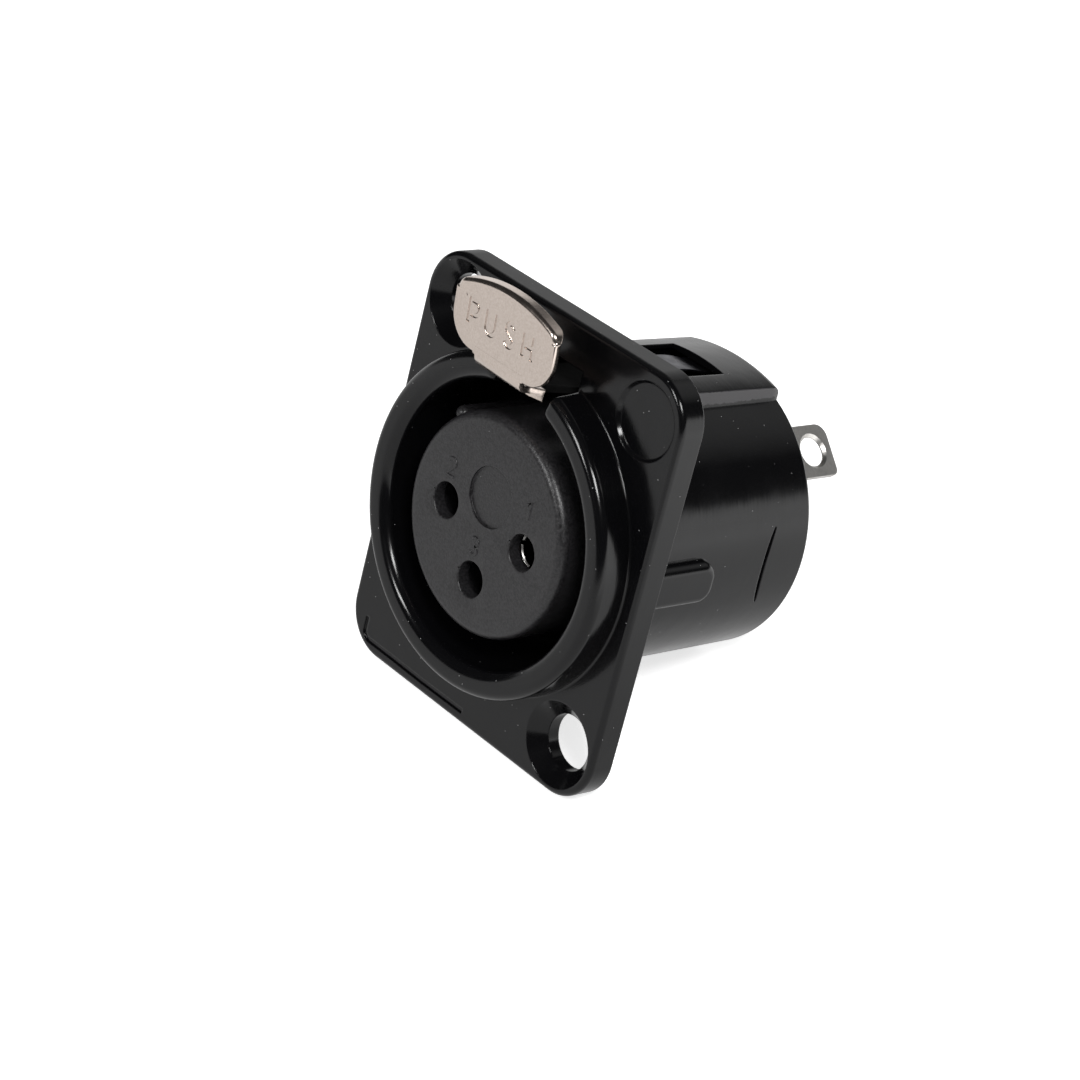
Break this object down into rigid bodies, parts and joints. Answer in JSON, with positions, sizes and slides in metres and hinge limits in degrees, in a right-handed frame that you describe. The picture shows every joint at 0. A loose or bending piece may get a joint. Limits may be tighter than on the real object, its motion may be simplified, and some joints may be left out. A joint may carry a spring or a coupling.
{
  "type": "panel-mount audio connector socket with push latch",
  "caption": "Flanged panel socket for a round shielded audio plug: a gloss black cast shell with a round insert of contacts, rear solder tags and a sprung push latch.",
  "frame": {"origin": "On the socket's axis, in the plane of the flange's rear face, which bears on the panel.", "axes": "Y is the socket's axis: the front and the plug's side face -Y, the barrel and solder tags reach to +Y. +Z points to the latch, which is at the top. +X is to the right as seen from the front."},
  "size_m": [0.026, 0.0288, 0.0327],
  "materials": {
    "black_paint": "gloss black paint on a die casting",
    "black_plastic": "fine-grained matte moulding",
    "nickel_plate": "bright warm nickel plate on steel",
    "tin_plate": "dull tin plate on brass",
    "spring_steel": "blued spring steel"
  },
  "bodies": {
    "socket": {"housing": "black_paint", "contact_insert": "black_plastic", "rear_disc": "black_plastic", "contact_1": "tin_plate", "contact_2": "tin_plate", "contact_3": "tin_plate", "ground_contact": "tin_plate", "latch_spring": "spring_steel"},
    "latch": {"latch_lever": "nickel_plate"}
  },
  "joints": [
    {"name": "latch_release", "type": "hinge", "parent": "socket", "child": "latch", "pos_m": [0, 0.0134, 0.00875], "axis": [-1, 0, 0], "range_deg": [0, 5], "stiffness_Nm_per_rad": 0.5, "springref_deg": -2.86, "deforming": ["latch_spring"]}
  ]
}
